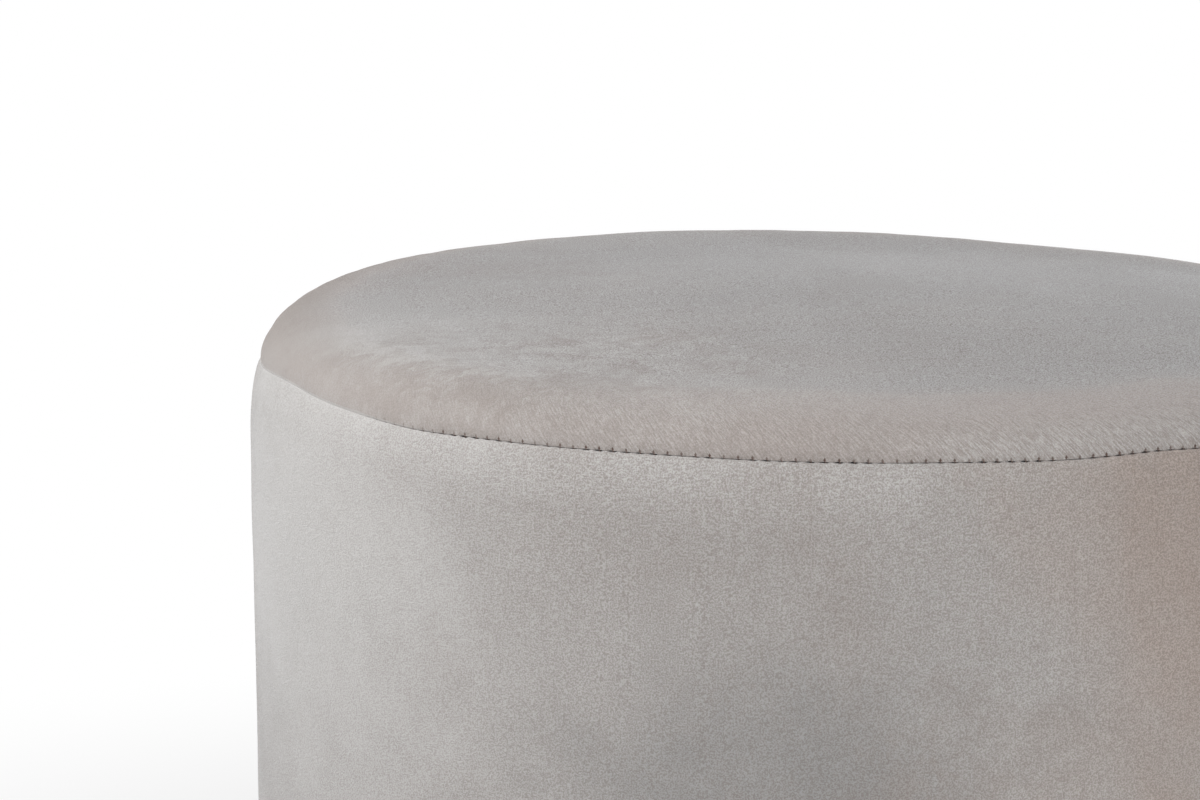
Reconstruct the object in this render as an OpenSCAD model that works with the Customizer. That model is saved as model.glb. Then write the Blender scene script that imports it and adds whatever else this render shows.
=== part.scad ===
// Two-lobed upholstered pouf: a sewn velvet bag over foam, on a frame of boards and posts.
// X is the long axis, -Y the front, Z up; the origin is on the floor under the middle.

/* [Overall size] */
// Length over both lobes
body_l = 850; // [800:5:920]
// Width over one lobe
body_w = 430; // [400:5:460]
// Height from the floor to the crown of the seat
body_h = 430; // [360:5:480]

/* [Outline] */
// Radius of each lobe's front and back
side_r = 290; // [275:5:320]
// Distance of each lobe's fullest line from the middle
lobe_x = 204; // [196:1:216]
// Radius of the hollow at each side of the waist
waist_r = 45; // [38:1:60]

/* [Cover] */
// Thickness of the velvet with its backing
cover_t = 1.2; // [0.8:0.1:2]
// Height of the rolled shoulder over the seam
roll_h = 18; // [14:1:26]
// Depth of the rolled shoulder, from the seam to the flat of the seat
roll_d = 32; // [24:1:45]
// Rise of the seat's middle over its edge
crown = 5; // [2:1:12]
// How far the seam is drawn in from the side's fullest line
seam_in = 5; // [3:0.5:6]
// Height over which the side swells out below the seam
swell_h = 28; // [16:1:45]
// Width of the seam allowance, turned in flat
seam_allow = 8; // [5:0.5:9]
// Radius of the lower edge, where the side turns under
turn_r = 8; // [5:0.5:11]
// Width of the strip that is turned under and stapled
flange_w = 52; // [50:1:70]
// Slit between the two side panels at each end
panel_gap = 0.3; // [0.2:0.1:0.6]

/* [Padding] */
// Thickness of the seat's foam block
seat_foam_t = 50; // [40:1:70]
// Radius of the foam block's upper edge
foam_round = 9; // [5:0.5:12]
// Thickness of the wadding at the seat's edge
wadding_t = 6; // [4:0.5:10]
// Room between the wadding and the foam block's side
wadding_gap = 0.9; // [0.7:0.1:1.5]
// Thickness of the foam sheet round the sides
side_foam_t = 10; // [8:0.5:15]
// Slit where the foam sheet's two ends meet
foam_joint = 0.5; // [0.3:0.1:1]

/* [Frame] */
// Thickness of the seat board
seat_board_t = 15; // [12:1:22]
// Thickness of the base board
base_board_t = 12; // [10:1:18]
// Thickness of the middle former
former_t = 12; // [9:1:18]
// Thickness of the bent wall panels
wall_t = 3; // [2:0.5:4]
// Height of the wall's rim over the seat board
wall_lip = 30; // [15:1:36]
// Slit between the two wall panels at each end
wall_joint = 0.6; // [0.3:0.1:1.5]
// Width of a post, along the wall
post_w = 40; // [30:1:50]
// Depth of a post, into the frame
post_d = 25; // [20:1:32]
// Diameter of the breather holes in the seat board
vent_d = 30; // [20:1:40]
// Distance between the breather holes
vent_pitch = 120; // [90:1:140]
// Diameter of the holes that lighten the middle former
former_hole_d = 78; // [50:1:80]
// Distance between the holes in the middle former
former_hole_pitch = 110; // [100:1:120]

/* [Fasteners] */
// Length of the frame's screws
screw_l = 45; // [35:1:50]
// Diameter of the frame's screws
screw_d = 4; // [3.5:0.1:5]
// Diameter of their countersunk heads
screw_head_d = 8; // [7:0.1:9.5]
// Length of the glides' screws
glide_screw_l = 14; // [11:0.5:15]
// Diameter of the glides' screws
glide_screw_d = 3.5; // [3:0.1:4]
// Diameter of the glides' screw heads
glide_head_d = 7; // [6:0.1:8]
// Width of a staple
staple_w = 10; // [8:0.5:13]
// Length of a staple's legs
staple_leg = 6; // [4:0.5:9]
// Thickness of the staple wire
staple_wire = 0.7; // [0.5:0.1:1.2]
// Largest distance from staple to staple
staple_pitch = 50; // [40:1:80]

/* [Underside] */
// Thickness of the dust cover
dust_t = 0.6; // [0.4:0.1:1]
// How far the dust cover's edge lies in from the side
dust_in = 14; // [12:1:18]
// How far the staples lie in from the dust cover's edge
staple_in = 5; // [3:0.5:6]
// Height of the glides
glide_h = 5; // [4:0.5:8]
// Diameter of the glides
glide_d = 24; // [20:1:26]
// How far the glides' middles lie in from the side
glide_in = 36; // [34:1:38]
// Rounding of the glides' lower edge
glide_round = 1.2; // [0.5:0.1:1.5]
// Depth of the screw head below the glide's face
head_sink = 1; // [0.5:0.1:1.5]

/* [Clearances] */
// Between soft layers, and round the wall
layer_gap = 0.3; // [0.2:0.05:0.5]
// Between the two edges that the seam joins
seam_gap = 0.2; // [0.1:0.05:0.4]
// Round posts in their notches, and behind the wall
notch_gap = 0.2; // [0.1:0.05:0.5]
// Round screws and staples in their holes
hole_gap = 0.1; // [0.05:0.05:0.3]

/* [Hidden] */
$fn = 144;
// How far a cutter runs past the face that it opens
over = 1;

// The outline is a loop of tangent arcs, each as [centre, radius, first angle, turn, cell].
// A turn below zero is a hollow, whose radius grows as the outline is drawn in.
// What is built along an arc is cut to its cell; lap runs a cell over the next ones, so that the parts join.
side_cy = side_r - body_w / 2;
end_reach = side_r - body_l / 2 + lobe_x;
tip_shift = (side_cy * side_cy - end_reach * end_reach) / (2 * end_reach);
tip_r = body_l / 2 - lobe_x - tip_shift;
waist_cy = sqrt(pow(side_r + waist_r, 2) - lobe_x * lobe_x) - side_cy;
tip_turn = atan2(side_cy, tip_shift);
waist_lean = atan2(waist_cy + side_cy, lobe_x);
side_turn = 180 - tip_turn - waist_lean;
function heading(a) = [cos(a), sin(a)];
tip_c = [lobe_x + tip_shift, 0];
side_c = [lobe_x, side_cy];
waist_c = [0, -waist_cy];
far = 2 * side_r;
lap = 0.02;
// Where the line between an end arc and a side arc runs out of the model
end_line = tip_c + far * heading(-tip_turn);
function flipped(p) = [-p[0], p[1]];
end_corners = [tip_c, end_line, [body_l, -far], [body_l, far], -flipped(end_line)];
end_cell = [for (p = end_corners) p - [lap, 0]];
side_cell = [side_c, tip_c, end_line, [lobe_x / 2, -far], waist_c];
waist_cell = [waist_c - [0, lap], side_c + [lap, 0], flipped(side_c) - [lap, 0]];
end_arc = [tip_c, tip_r, -tip_turn, 2 * tip_turn, end_cell];
side_arc = [side_c, side_r, 180 + waist_lean, side_turn, side_cell];
waist_arc = [waist_c, waist_r, 180 - waist_lean, 2 * waist_lean - 180, waist_cell];
left_side_arc = [flipped(side_c), side_r, 180 + tip_turn, side_turn, [for (p = side_cell) flipped(p)]];
function turn_back(arc) = [-arc[0], arc[1], arc[2] + 180, arc[3], -arc[4]];
front_arcs = [turn_back(end_arc), left_side_arc, waist_arc, side_arc, end_arc];
loop = concat(front_arcs, [for (k = [1 : 3]) turn_back(front_arcs[k])]);

// Levels, from the floor up
flange_z = glide_h + dust_t;
base_z = flange_z + cover_t;
base_top = base_z + base_board_t;
seam_z = body_h - crown - roll_h;
band_top = seam_z - seam_gap / 2;
roll_z = seam_z + seam_gap / 2;
edge_top = body_h - crown;
foam_top = edge_top - cover_t - layer_gap - wadding_t;
seat_top = foam_top - seat_foam_t;
seat_z = seat_top - seat_board_t;
former_z = (base_top + seat_z - former_t) / 2;

// Layers, as distances out from the outline
padding_e = -cover_t - layer_gap;
wall_e = padding_e - side_foam_t - layer_gap;
frame_e = wall_e - wall_t - layer_gap;
roll_e = -seam_in - roll_d;
staple_e = -dust_in - staple_in;

// The front half of the sewn top and its wadding, as [arc, first part, last part, steps]
runs = [[0, 0.5, 1, 9], [1, 0, 1, 5], [2, 0, 1, 4], [3, 0, 1, 5], [4, 0, 0.5, 9]];
// How far in the rings over the crown lie, and how much their ends are drawn in
crown_stops = [0.25, 0.5, 0.75];
end_draw = 0.4;

velvet = [0.66, 0.63, 0.61];
foam_yellow = [0.93, 0.88, 0.66];
wadding_white = [0.95, 0.95, 0.94];
board_tan = [0.76, 0.62, 0.44];
wall_brown = [0.55, 0.42, 0.29];
post_pine = [0.87, 0.74, 0.52];
zinc = [0.75, 0.76, 0.78];
dust_black = [0.1, 0.1, 0.1];
glide_black = [0.15, 0.15, 0.15];

function arc_r(arc, e) = arc[1] + sign(arc[3]) * e;
function arc_point(arc, part, e) = arc[0] + arc_r(arc, e) * heading(arc[2] + part * arc[3]);
// A place on the front half, or turned to the back half, as [name, x, y, outward angle]
function place(name, arc, part, e, back) =
    let (p = arc_point(arc, part, e) * (back ? -1 : 1))
    let (half_turns = (arc[3] < 0 ? 1 : 0) + (back ? 1 : 0))
    [name, p[0], p[1], arc[2] + part * arc[3] + 180 * half_turns];
// Points along an ellipse's arc
function bend(c, rx, ry, a0, a1, n) =
    [for (i = [0 : n]) let (a = a0 + (a1 - a0) * i / n) c + [rx * cos(a), ry * sin(a)]];

// A post's middle; against a rounded wall its corners touch first
function post_e(wall_r) =
    frame_e - notch_gap - post_d / 2 - wall_r + sqrt(wall_r * wall_r - post_w * post_w / 4);
end_post_e = post_e(tip_r + frame_e);
waist_post_e = frame_e - notch_gap - post_d / 2;
// Where a lobe is fullest: on its side arc, or on its end arc if that one turns so far
end_is_fullest = tip_turn > 90;
fullest = end_is_fullest ? (90 + tip_turn) / (2 * tip_turn) : (90 - tip_turn) / side_turn;
left_lobe = end_is_fullest ? loop[0] : loop[1];
right_lobe = end_is_fullest ? loop[4] : loop[3];
side_post_e = post_e(left_lobe[1] + frame_e);
posts = [
    place("post_left_end", loop[0], 0.5, end_post_e, false),
    place("post_left_front", left_lobe, fullest, side_post_e, false),
    place("post_waist_front", loop[2], 0.5, waist_post_e, false),
    place("post_right_front", right_lobe, 1 - fullest, side_post_e, false),
    place("post_right_end", loop[0], 0.5, end_post_e, true),
    place("post_right_back", left_lobe, fullest, side_post_e, true),
    place("post_waist_back", loop[2], 0.5, waist_post_e, true),
    place("post_left_back", right_lobe, 1 - fullest, side_post_e, true)
];
end_glide = 0.75;
waist_glide = 0.75;
glides = [
    place("glide_left_end_front", loop[0], end_glide, -glide_in, false),
    place("glide_left_waist_front", loop[1], waist_glide, -glide_in, false),
    place("glide_right_waist_front", loop[3], 1 - waist_glide, -glide_in, false),
    place("glide_right_end_front", loop[4], 1 - end_glide, -glide_in, false),
    place("glide_right_end_back", loop[0], end_glide, -glide_in, true),
    place("glide_right_waist_back", loop[1], waist_glide, -glide_in, true),
    place("glide_left_waist_back", loop[3], 1 - waist_glide, -glide_in, true),
    place("glide_left_end_back", loop[4], 1 - end_glide, -glide_in, true)
];
function staple_count(arc) = ceil(arc_r(arc, staple_e) * abs(arc[3]) * PI / 180 / staple_pitch);
staples = [for (arc = loop) let (n = staple_count(arc))
    each [for (i = [0 : n - 1]) place("staple", arc, (i + 0.5) / n, staple_e, false)]];

// Sections of what goes round the sides, as [distance out, height]
swell_z = band_top - swell_h;
function side_line(inset, n) = concat(
    bend([-turn_r, flange_z + turn_r], turn_r - inset, turn_r - inset, -90, 0, n),
    bend([-seam_in, swell_z], seam_in - inset, swell_h - inset, 0, 90, n)
);
function backwards(list) = [for (i = [len(list) - 1 : -1 : 0]) list[i]];
cover_section = concat(
    [[-flange_w, flange_z]],
    side_line(0, 6),
    [[-seam_in - seam_allow, band_top], [-seam_in - seam_allow, band_top - cover_t]],
    backwards(side_line(cover_t, 6)),
    [[-flange_w, base_z]]
);
side_foam_section = concat(
    [[wall_e + layer_gap, base_z + layer_gap]],
    side_line(-padding_e, 6),
    [[wall_e + layer_gap, band_top + padding_e]]
);
foam_edge_section = concat(
    [[frame_e - 2 * foam_round, foam_top - foam_round]],
    bend([frame_e - foam_round, foam_top - foam_round], foam_round, foam_round, 0, 90, 5),
    [[frame_e - 2 * foam_round, foam_top]]
);

// A board or sheet of the two-lobed outline, moved out by e
module slab(e, z, t) {
    for (arc = loop) translate([0, 0, z]) if (arc[3] > 0) intersection() {
        linear_extrude(t) polygon(arc[4]);
        translate(arc[0]) cylinder(r = arc_r(arc, e), h = t);
    } else difference() {
        linear_extrude(t) polygon(arc[4]);
        translate([arc[0][0], arc[0][1], -over]) cylinder(r = arc_r(arc, e), h = t + 2 * over);
    }
}

// Carries a section, drawn as [distance out, height], round the outline
module along_outline() {
    for (arc = loop) intersection() {
        translate([0, 0, -over]) linear_extrude(body_h + over) polygon(arc[4]);
        translate(arc[0]) rotate_extrude() translate([arc[1], 0])
            mirror([arc[3] < 0 ? 1 : 0, 0]) children();
    }
}

// All behind the line where a front panel ends, with half of the slit between the panels
module behind(gap) {
    translate([-body_l, -gap / 2, -over]) cube([2 * body_l, body_l, body_h + over]);
}

module at(p, z) {
    translate([p[1], p[2], z]) rotate(p[3]) children();
}

// A countersunk screw with its head's face at z = 0, pointing up
module screw(d, head_d, l) {
    head_h = (head_d - d) / 2;
    recess_w = d / 5;
    recess_l = 0.6 * head_d;
    difference() {
        rotate_extrude() polygon([[0, 0], [head_d / 2, 0], [d / 2, head_h], [d / 2, l - d], [0, l]]);
        for (turn = [0, 90]) rotate(turn) translate([-recess_l / 2, -recess_w / 2, -over])
            cube([recess_l, recess_w, over + head_h * 2 / 3]);
    }
}

module screw_hole(d, head_d, l) {
    r = d / 2 + hole_gap;
    head_r = head_d / 2 + hole_gap;
    end = l + hole_gap;
    head = [[0, -over], [head_r, -over], [head_r, 0]];
    rotate_extrude() polygon(concat(head, [[r, head_r - r], [r, end], [0, end]]));
}

// Puts screws, or their holes, through the base board and the seat board into one post
module frame_screw_places(p) {
    at(p, base_z) children();
    at(p, seat_top) mirror([0, 0, 1]) children();
}

module frame_screw_holes() {
    for (p = posts) frame_screw_places(p) screw_hole(screw_d, screw_head_d, screw_l);
}

module glide_bores() {
    bore_d = glide_screw_d + 2 * hole_gap;
    for (g = glides) at(g, head_sink) cylinder(d = bore_d, h = glide_screw_l + hole_gap);
}

// A staple's two legs, widened by gap all round
module staple_legs(gap) {
    side = staple_wire + 2 * gap;
    leg = staple_wire + staple_leg + gap;
    for (y = [-1, 1] * (staple_w - staple_wire) / 2)
        translate([-side / 2, y - side / 2, -staple_wire]) cube([side, side, leg]);
}

module staple_holes() {
    for (s = staples) at(s, glide_h) staple_legs(hole_gap);
}

module post_block(p, reach, gap) {
    w = post_w + 2 * gap;
    at(p, 0) translate([-post_d / 2 - gap, -w / 2, 0]) cube([post_d + gap + reach, w, body_h]);
}

// Rings for the sewn top: the front half's stations, then the same turned to the back
function ring(e) =
    let (half = [for (r = runs) each [for (i = [0 : r[3] - 1])
        arc_point(loop[r[0]], r[1] + (r[2] - r[1]) * i / r[3], e)]])
    concat(half, -half);
function at_level(points, z) = [for (p = points) [p[0], p[1], z]];
function section_rings(section) = [for (s = section) at_level(ring(s[0]), s[1])];
// Rings over the crown, from the roll's end to the flat in the middle
function crown_rings(z) = let (edge = ring(roll_e), last = crown_stops[len(crown_stops) - 1])
    [for (t = crown_stops) at_level(
        [for (p = edge) [p[0] * (1 - t * end_draw), p[1] * (1 - t)]],
        z + crown * (1 - cos(180 * t / last)) / 2)];

// A closed solid through rings, capped under the first and over the last.
// A cap's strips join each front station to the one behind it.
module ring_solid(rings) {
    n = len(rings[0]);
    last = (len(rings) - 1) * n;
    walls = [for (r = [0 : len(rings) - 2], i = [0 : n - 1])
        let (a = r * n + i, b = r * n + (i + 1) % n) each [[a, a + n, b + n], [a, b + n, b]]];
    cap = concat(
        [for (i = [1 : n / 2 - 1]) [i, n - i, n - i - 1]],
        [for (i = [0 : n / 2 - 2]) [i, n - i - 1, i + 1]]
    );
    polyhedron(
        points = [for (r = rings) each r],
        faces = concat(walls, [for (f = cap) [for (v = f) v + last]], [for (f = cap) backwards(f)])
    );
}

module top_cover() {
    allow_e = -seam_in - seam_allow;
    outer = concat([[allow_e, roll_z]], bend([roll_e, roll_z], roll_d, edge_top - roll_z, 0, 90, 5));
    inner = concat(
        bend([roll_e, roll_z + cover_t], roll_d - cover_t, edge_top - roll_z - 2 * cover_t, 90, 0, 4),
        [[allow_e, roll_z + cover_t]]
    );
    color(velvet) ring_solid(concat(
        backwards(crown_rings(edge_top - cover_t)), section_rings(inner),
        section_rings(outer), crown_rings(edge_top)
    ));
}

module top_wadding() {
    low = roll_z + cover_t + layer_gap;
    skin = cover_t + layer_gap;
    corner = [frame_e - foam_round, foam_top - foam_round];
    hollow = concat(
        bend(corner, foam_round + wadding_gap, foam_round, 90, 0, 3),
        [[frame_e + wadding_gap, low]]
    );
    outer = bend([roll_e, low], roll_d - skin, edge_top - skin - low, 0, 90, 5);
    color(wadding_white) ring_solid(concat(
        section_rings(hollow), section_rings(outer), crown_rings(edge_top - skin)
    ));
}

// The band's front panel, with its turned-under strip
module side_cover() {
    color(velvet) difference() {
        along_outline() polygon(cover_section);
        behind(panel_gap);
        glide_bores();
        staple_holes();
    }
}

module side_cover_front() {
    side_cover();
}

module side_cover_back() {
    rotate(180) side_cover();
}

module seat_foam() {
    color(foam_yellow) {
        slab(frame_e, seat_top, seat_foam_t - foam_round);
        slab(frame_e - foam_round, seat_top, seat_foam_t);
        along_outline() polygon(foam_edge_section);
    }
}

// One sheet, whose ends meet at the back of the waist
module side_foam() {
    color(foam_yellow) difference() {
        along_outline() polygon(side_foam_section);
        translate([-foam_joint / 2, 0, 0]) cube([foam_joint, body_w, body_h]);
    }
}

module wall_panel() {
    wall_h = seat_top + wall_lip - base_z;
    color(wall_brown) difference() {
        along_outline() translate([wall_e - wall_t, base_z]) square([wall_t, wall_h]);
        behind(wall_joint);
    }
}

module wall_front() {
    wall_panel();
}

module wall_back() {
    rotate(180) wall_panel();
}

module seat_board() {
    color(board_tan) difference() {
        slab(frame_e, seat_z, seat_board_t);
        frame_screw_holes();
        for (i = [-1.5 : 1.5]) translate([i * vent_pitch, 0, seat_z - over])
            cylinder(d = vent_d, h = seat_board_t + 2 * over);
    }
}

// Stiffens the wall at half height; the posts stand in its notches
module middle_former() {
    color(board_tan) difference() {
        slab(frame_e, former_z, former_t);
        for (p = posts) post_block(p, post_d, notch_gap);
        for (i = [-2.5 : 2.5]) translate([i * former_hole_pitch, 0, former_z - over])
            cylinder(d = former_hole_d, h = former_t + 2 * over);
    }
}

module base_board() {
    color(board_tan) difference() {
        slab(frame_e, base_z, base_board_t);
        frame_screw_holes();
        glide_bores();
        staple_holes();
    }
}

module post(p) {
    color(post_pine) difference() {
        intersection() {
            post_block(p, 0, 0);
            translate([-body_l, -body_l, base_top]) cube([2 * body_l, 2 * body_l, seat_z - base_top]);
        }
        frame_screw_places(p) screw_hole(screw_d, screw_head_d, screw_l);
    }
}

module frame_screws() {
    color(zinc) for (p = posts) frame_screw_places(p) screw(screw_d, screw_head_d, screw_l);
}

module dust_cover() {
    color(dust_black) difference() {
        slab(-dust_in, glide_h, dust_t);
        glide_bores();
        staple_holes();
    }
}

module dust_cover_staples() {
    color(zinc) for (s = staples) at(s, glide_h) {
        translate([-staple_wire / 2, -staple_w / 2, -staple_wire])
            cube([staple_wire, staple_w, staple_wire]);
        staple_legs(0);
    }
}

module glide(g) {
    bore_r = glide_screw_d / 2 + hole_gap;
    head_r = glide_head_d / 2 + hole_gap;
    head_top = head_sink + head_r - bore_r;
    edge = [glide_d / 2 - glide_round, glide_round];
    color(glide_black) at(g, 0) rotate_extrude() polygon(concat(
        [[head_r, 0]],
        bend(edge, glide_round, glide_round, -90, 0, 4),
        [[glide_d / 2, glide_h], [bore_r, glide_h], [bore_r, head_top], [head_r, head_sink]]
    ));
}

module glide_screws() {
    color(zinc) for (g = glides) at(g, head_sink) screw(glide_screw_d, glide_head_d, glide_screw_l);
}

top_cover();
side_cover_front();
side_cover_back();
top_wadding();
seat_foam();
side_foam();
wall_front();
wall_back();
seat_board();
middle_former();
base_board();
frame_screws();
for (p = posts) post(p);
dust_cover();
dust_cover_staples();
glide_screws();
for (g = glides) glide(g);
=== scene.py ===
"""Looks of a two-lobed upholstered pouf: velvet cover, padding, dust cloth, finishes, stage and camera.

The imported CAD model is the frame. Lengths are in metres, in the frame's axes: X along both lobes, -Y the front, Z up.
"""

import math

import bmesh
import bpy
import numpy as np
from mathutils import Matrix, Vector


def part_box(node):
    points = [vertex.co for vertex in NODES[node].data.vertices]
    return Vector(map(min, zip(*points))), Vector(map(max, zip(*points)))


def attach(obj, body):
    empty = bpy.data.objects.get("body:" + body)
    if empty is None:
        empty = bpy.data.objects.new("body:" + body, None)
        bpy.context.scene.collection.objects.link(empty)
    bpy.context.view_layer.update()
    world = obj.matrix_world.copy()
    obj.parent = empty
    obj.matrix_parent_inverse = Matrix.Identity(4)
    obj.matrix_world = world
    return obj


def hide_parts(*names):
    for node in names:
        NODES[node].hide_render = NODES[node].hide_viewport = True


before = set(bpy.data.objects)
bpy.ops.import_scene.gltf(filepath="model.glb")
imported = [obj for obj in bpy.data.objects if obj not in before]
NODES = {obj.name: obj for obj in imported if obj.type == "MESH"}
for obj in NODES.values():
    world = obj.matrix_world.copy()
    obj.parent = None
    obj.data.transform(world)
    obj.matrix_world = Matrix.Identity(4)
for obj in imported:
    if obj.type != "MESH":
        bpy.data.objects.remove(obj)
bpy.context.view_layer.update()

bl_info = {
    "name": "Two-lobed pouf",
    "version": (1, 0, 0),
    "blender": (4, 5, 0),
    "location": "3D Viewport > Sidebar > Pouf",
    "description": "Makes the velvet cover, the padding and the finishes of a two-lobed upholstered pouf",
    "category": "Object",
}

MM = 0.001


def size(name, description, default):
    """A length in metres that a user can change."""
    return bpy.props.FloatProperty(name=name, description=description, default=default, unit="LENGTH", precision=4)


def colour(name, description, default):
    """A colour in linear values that a user can change."""
    return bpy.props.FloatVectorProperty(
        name=name, description=description, default=default, subtype="COLOR", min=0, max=1
    )


def top_of(node):
    """Height of the highest point of a CAD node."""
    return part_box(node)[1].z


def foot_of(node):
    """Height of the lowest point of a CAD node."""
    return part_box(node)[0].z


# Sizes and colours that a user would change


class PoufShape(bpy.types.PropertyGroup):
    length: size("Length", "Length over both lobes", 2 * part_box("side_cover_front")[1].x)
    width: size("Width", "Width over one lobe", 430 * MM)
    side_radius: size("Side radius", "Radius of each lobe's front and back", 290 * MM)
    lobe_offset: size("Lobe offset", "Distance of a lobe's fullest line from the middle", 204 * MM)
    waist_radius: size("Waist radius", "Radius of the hollow at the waist", 45 * MM)
    seam_height: size("Seam height", "Height of the seam round the top", top_of("side_cover_front"))
    edge_height: size("Edge height", "Height at which the rolled edge ends", 424.4 * MM)
    crown_height: size("Crown height", "Height of the seat's middle", top_of("top_cover"))
    seam_inset: size("Seam inset", "How far the seam is drawn in from the side", 5 * MM)
    roll_depth: size("Roll depth", "Depth of the rolled edge", 32 * MM)
    swell_height: size("Swell height", "Height over which the side swells out", 28 * MM)
    strip_height: size("Strip height", "Height of the strip that is turned under", foot_of("side_cover_front"))
    strip_width: size("Strip width", "Width of the strip that is turned under", 52 * MM)
    turn_radius: size("Turn radius", "Radius of the side's lower edge", 8 * MM)
    cloth: size("Velvet thickness", "Thickness of the velvet with its backing", 1.2 * MM)
    stitch: size("Stitch", "Length of a stitch in the seams", 5 * MM)


class PoufColours(bpy.types.PropertyGroup):
    # Seat, shoulder and side are one velvet: the seat's cooler tone and the shoulder's browner one are painted sheen of
    # the pile, which changes with its lean
    seat: colour("Seat", "Velvet of the seat, its pile brushed flat", (0.370, 0.369, 0.367))
    shoulder: colour("Shoulder", "Velvet of the rolled edge, its pile leaning down to the seam", (0.378, 0.343, 0.327))
    side: colour("Side", "Velvet of the sides", (0.379, 0.369, 0.359))
    waist: colour("Waist", "Velvet in the hollows of the waist", (0.385, 0.331, 0.299))
    # Paler velvet: painted light where the sides face the lamps and along the seam, and pile raised by hands
    lit_and_brushed: colour("Brushed pile", "Velvet that is brushed towards the light", (0.468, 0.460, 0.450))
    # Also gives the painted shade along the seam round the left end
    rubbed: colour("Rubbed pile", "Velvet that is rubbed or brushed the wrong way", (0.292, 0.262, 0.244))
    # Painted shade: darker velvet low on the front of both lobes
    painted_shade: colour("Shaded", "Side where the pile leans away from the light", (0.245, 0.250, 0.250))
    depth: colour("Pile's depth", "Velvet, down between the pile and in the seams", (0.105, 0.070, 0.055))
    stitched: colour("Stitch holes", "Velvet in the stitch holes and seams", (0.075, 0.040, 0.030))
    thread: colour("Thread", "Seam thread", (0.200, 0.135, 0.110))
    floor: colour("Floor", "Studio floor", (0.80, 0.80, 0.80))


# The outline, and what is carried along it


def heading(angle):
    """Unit directions (cosine, sine) at angles in radians."""
    return np.stack([np.cos(angle), np.sin(angle)], -1)


class Outline:
    """A closed loop of tangent arcs, walked by its length from the left end along the front.

    Each lobe has an arc of the end radius between two arcs of the side radius, and a hollow arc joins the lobes at
    each side of the waist. The end radius and all centres follow from the length, the width and the tangency."""

    def __init__(self, shape):
        """The centres of arcs that touch inside are apart by the radii's difference, outside by their sum."""
        side_y = shape.side_radius - shape.width / 2
        reach = shape.side_radius - shape.length / 2 + shape.lobe_offset
        shift = (side_y**2 - reach**2) / (2 * reach)
        end_r = shape.length / 2 - shape.lobe_offset - shift
        end_x = shape.lobe_offset + shift
        waist_y = math.sqrt((shape.side_radius + shape.waist_radius) ** 2 - shape.lobe_offset**2) - side_y
        end_turn = math.atan2(side_y, shift)
        lean = math.atan2(waist_y + side_y, shape.lobe_offset)
        side_turn = math.pi - end_turn - lean
        # Centre x and y, radius, first angle and turn of each arc along the front
        half = [
            (-end_x, 0, end_r, math.pi, end_turn),
            (-shape.lobe_offset, side_y, shape.side_radius, math.pi + end_turn, side_turn),
            (0, -waist_y, shape.waist_radius, math.pi - lean, 2 * lean - math.pi),
            (shape.lobe_offset, side_y, shape.side_radius, math.pi + lean, side_turn),
            (end_x, 0, end_r, -end_turn, end_turn),
        ]
        arcs = np.array(half + [(-x, -y, r, a + math.pi, turn) for x, y, r, a, turn in half])
        self.centre, self.r, self.start, self.turn = arcs[:, :2], arcs[:, 2], arcs[:, 3], arcs[:, 4]
        self.run = self.r * np.abs(self.turn)
        self.ends = np.cumsum(self.run)
        self.total = float(self.ends[-1])

    def at(self, along):
        """Points, outward directions, and 1 on the lobes or 0 in the hollows, at lengths along the outline."""
        s = np.mod(along, self.total)
        k = np.minimum(np.searchsorted(self.ends, s, side="right"), len(self.r) - 1)
        part = (s - self.ends[k] + self.run[k]) / self.run[k]
        ray = heading(self.start[k] + part * self.turn[k])
        return self.centre[k] + self.r[k, None] * ray, ray * np.sign(self.turn[k])[:, None], (self.turn[k] > 0) * 1.0


def ease(x, low, high):
    """0 below low, 1 above high, and 3t² - 2t³ between."""
    t = np.clip((x - low) / (high - low), 0, 1)
    return t * t * (3 - 2 * t)


def ripples(points, shortest, longest, seed, count=24):
    """A smooth uneven field: a sum of plane waves with random directions, phases and wavelengths.

    It is scaled to a spread of 1. The wavelengths lie between the shortest and the longest, in metres."""
    rng = np.random.default_rng(seed)
    ways = rng.normal(size=(count, points.shape[-1]))
    ways /= np.linalg.norm(ways, axis=1)[:, None]
    waves = 2 * math.pi / np.exp(rng.uniform(math.log(shortest), math.log(longest), count))
    phases = rng.uniform(0, 2 * math.pi, count)
    field = np.zeros(points.shape[:-1])
    for way, wave, phase in zip(ways, waves, phases):
        field += np.sin(wave * (points @ way) + phase)
    return field * math.sqrt(2 / count)


def straight(a, b, count):
    """Points (out, height) on a straight line, without its first."""
    t = np.linspace(0, 1, count + 1)[1:, None]
    return np.array(a) * (1 - t) + np.array(b) * t


def bend(centre, rx, rz, angles):
    """Points (out, height) on an ellipse's arc at angles in degrees."""
    a = np.radians(angles)
    return np.stack([centre[0] + rx * np.cos(a), centre[1] + rz * np.sin(a)], -1)


def walked(section):
    """The length walked along a section at each of its points."""
    return np.concatenate([[0], np.cumsum(np.linalg.norm(np.diff(section, axis=0), axis=1))])


def carried(outline, along, section):
    """A section (out, height) carried along the outline, as (points, normals).

    A point is the outline's point plus out times its outward direction, at the section's height. A normal is the
    section's direction turned a quarter clockwise, in the plane of the outward direction and up."""
    p, out, _ = outline.at(along)
    d = np.gradient(section, axis=0)
    d /= np.linalg.norm(d, axis=1)[:, None] + 1e-12
    rows = (len(along), len(section), 1)
    points = np.concatenate(
        [p[:, None] + out[:, None] * section[None, :, :1], np.broadcast_to(section[None, :, 1:], rows)], -1
    )
    normals = np.concatenate([out[:, None] * d[None, :, 1:], np.broadcast_to(-d[None, :, :1], rows)], -1)
    return points, normals


# How far the spine, at which the rings over the seat end, is drawn in along X
SPINE_DRAW = 0.4


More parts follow.
